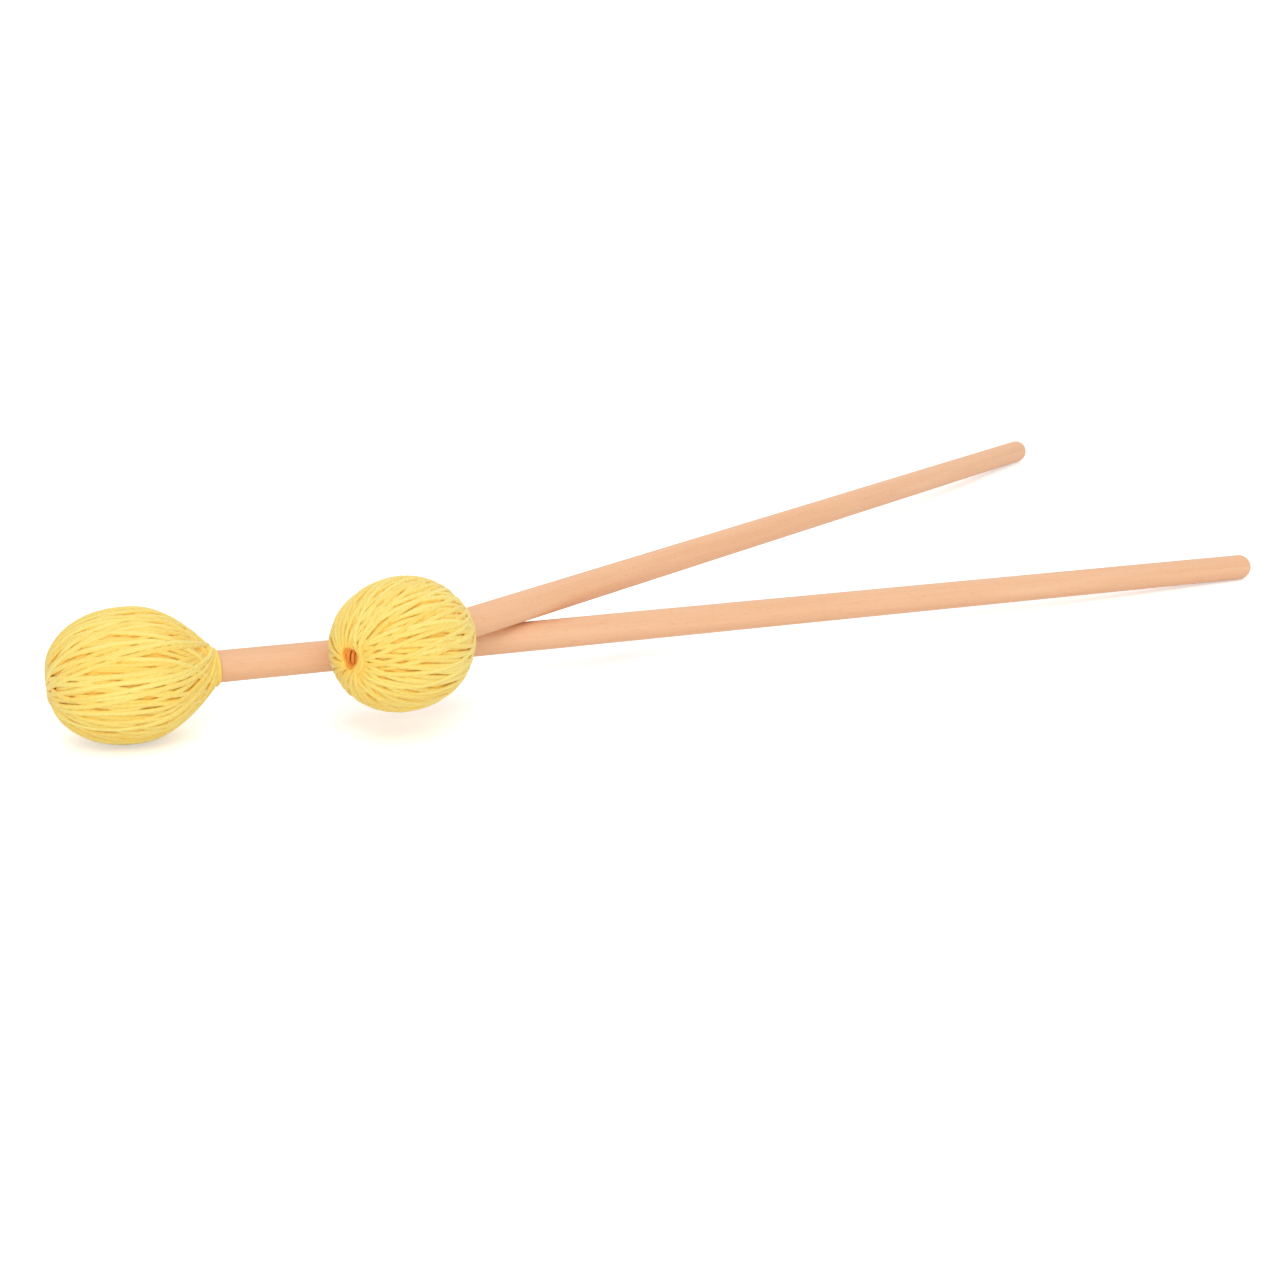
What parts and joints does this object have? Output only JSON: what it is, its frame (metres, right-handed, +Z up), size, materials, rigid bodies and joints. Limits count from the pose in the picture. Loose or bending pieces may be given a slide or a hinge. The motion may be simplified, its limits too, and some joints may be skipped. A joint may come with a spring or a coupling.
{
  "type": "marimba mallet",
  "caption": "Marimba mallets laid down crossed: turned beech shafts with rounded butts, and egg-shaped rubber-cored heads wound lengthwise with soft yellow yarn.",
  "frame": {"origin": "on the floor, under the middle of the pair's bounding box", "axes": "+X along the lower mallet, from its head to its butt; +Z up from the floor"},
  "size_m": [0.415, 0.1868, 0.0404],
  "materials": {
    "beech": "satin, sanded smooth, with fine grain along the shaft",
    "rubber": "matt moulded rubber",
    "yarn": "soft pale yellow yarn",
    "thread": "thin orange-yellow thread"
  },
  "bodies": {
    "lower_mallet": {"lower_shaft": "beech", "lower_rubber_core": "rubber", "lower_underwrap": "yarn", "lower_yarn_winding": "yarn", "lower_crown_stitch": "thread", "lower_neck_binding": "yarn"},
    "upper_mallet": {"upper_shaft": "beech", "upper_rubber_core": "rubber", "upper_underwrap": "yarn", "upper_yarn_winding": "yarn", "upper_crown_stitch": "thread", "upper_neck_binding": "yarn"}
  },
  "joints": [
    {"name": "upper_mallet_lift", "type": "slide", "parent": "lower_mallet", "child": "upper_mallet", "axis": [0, 0, 1], "range_m": [0, 0.12]}
  ]
}
